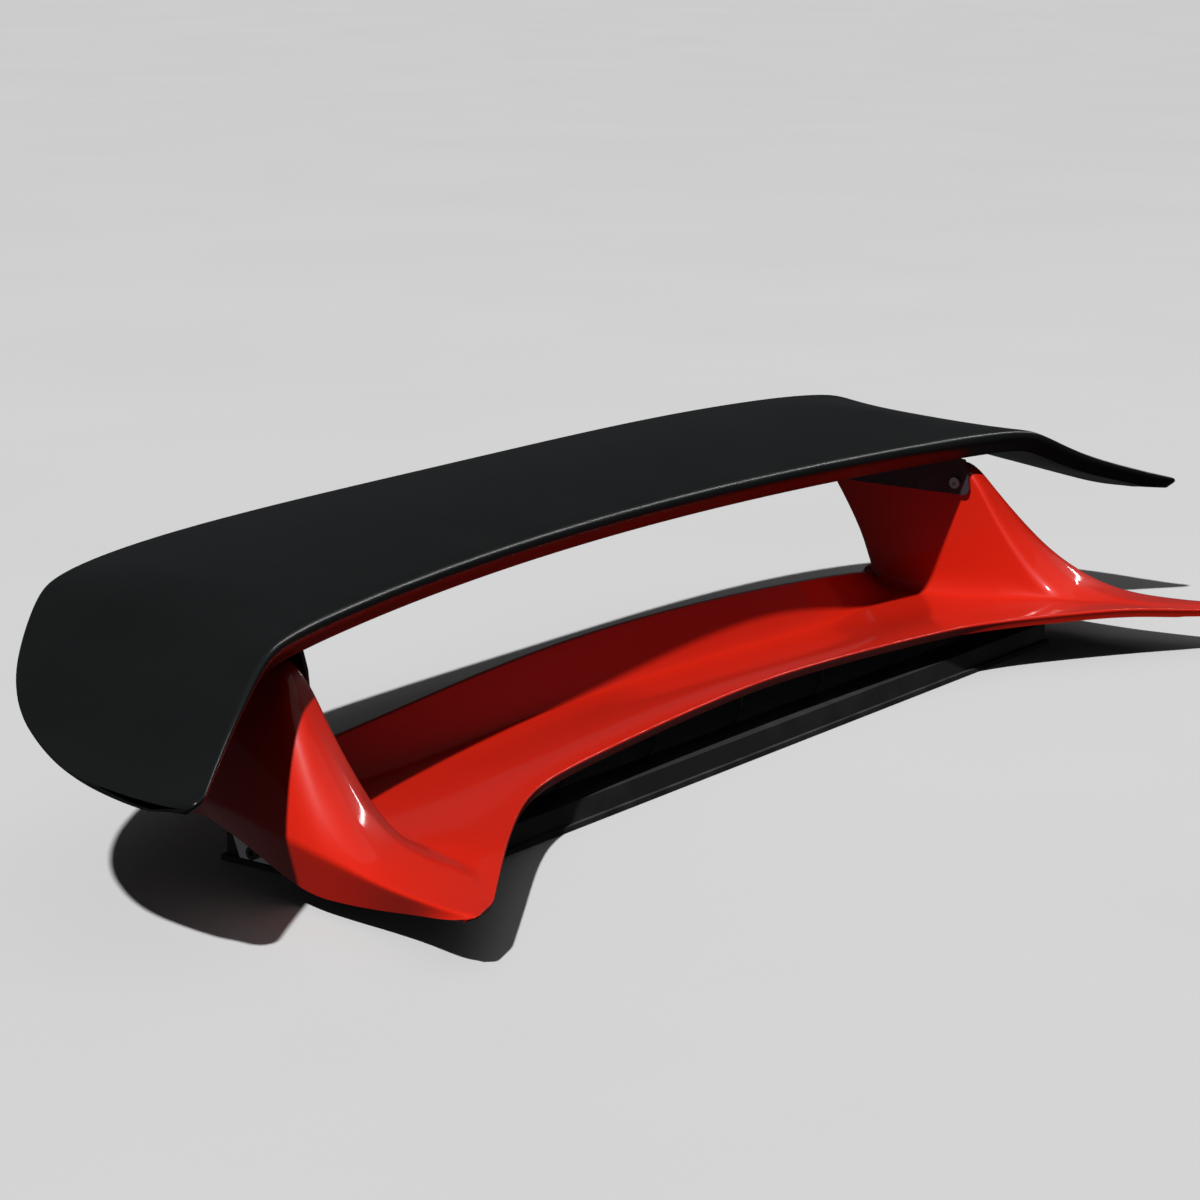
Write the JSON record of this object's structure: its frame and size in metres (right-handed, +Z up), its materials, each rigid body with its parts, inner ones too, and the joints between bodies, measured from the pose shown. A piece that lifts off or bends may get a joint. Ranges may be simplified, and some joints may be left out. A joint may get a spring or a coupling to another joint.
{
  "type": "adjustable rear wing on a deck lid",
  "caption": "Rear wing: one-piece deck lid moulding with two integral stanchions and a duck-tail lip, carrying a drooped-tip blade that pitches on side brackets.",
  "frame": {"origin": "on the centreline, on the plane that the lid seal rests on, 67 mm behind the middle of the front edge", "axes": "+X to the car's left, +Y to the rear, +Z up"},
  "size_m": [1.342, 0.4781, 0.2007],
  "materials": {
    "deck_skin": "gloss painted moulding with clear coat",
    "inner_frame": "black powder coat",
    "lid_seal": "matte",
    "lid_buffers": "matte",
    "hinge_blocks": "machined",
    "latch_striker": "zinc plated",
    "striker_screws": "black oxide",
    "stanchion_plate_left": "machined",
    "stanchion_plate_right": "machined",
    "foot_bolts": "black oxide",
    "pivot_bolts": "zinc plated",
    "pivot_spacers": "moulded nylon",
    "clamp_bolts": "black oxide",
    "clamp_washers": "zinc plated",
    "clamp_spacers": "moulded nylon",
    "blade_upper_skin": "satin gloss black",
    "blade_lower_skin": "satin gloss black",
    "blade_spar": "mill finish",
    "rear_stiffener": "bare laminate",
    "mount_rib_left": "machined",
    "mount_rib_right": "machined",
    "bracket_left": "black anodised",
    "bracket_right": "black anodised",
    "bracket_gaskets": "matte",
    "bracket_screws": "black oxide",
    "pivot_bushes": "machined bronze"
  },
  "bodies": {
    "lid": {"deck_skin": "deck_skin", "inner_frame": "inner_frame", "lid_seal": "lid_seal", "lid_buffers": "lid_buffers", "hinge_blocks": "hinge_blocks", "latch_striker": "latch_striker", "striker_screws": "striker_screws", "stanchion_plate_left": "stanchion_plate_left", "stanchion_plate_right": "stanchion_plate_right", "foot_bolts": "foot_bolts", "pivot_bolts": "pivot_bolts", "pivot_spacers": "pivot_spacers", "clamp_bolts": "clamp_bolts", "clamp_washers": "clamp_washers", "clamp_spacers": "clamp_spacers"},
    "blade": {"blade_upper_skin": "blade_upper_skin", "blade_lower_skin": "blade_lower_skin", "blade_spar": "blade_spar", "rear_stiffener": "rear_stiffener", "mount_rib_left": "mount_rib_left", "mount_rib_right": "mount_rib_right", "bracket_left": "bracket_left", "bracket_right": "bracket_right", "bracket_gaskets": "bracket_gaskets", "bracket_screws": "bracket_screws", "pivot_bushes": "pivot_bushes"}
  },
  "joints": [
    {"name": "blade_pitch", "type": "hinge", "parent": "lid", "child": "blade", "pos_m": [0, 0.022, 0.141], "axis": [1, 0, 0], "range_deg": [-2, 6]}
  ]
}
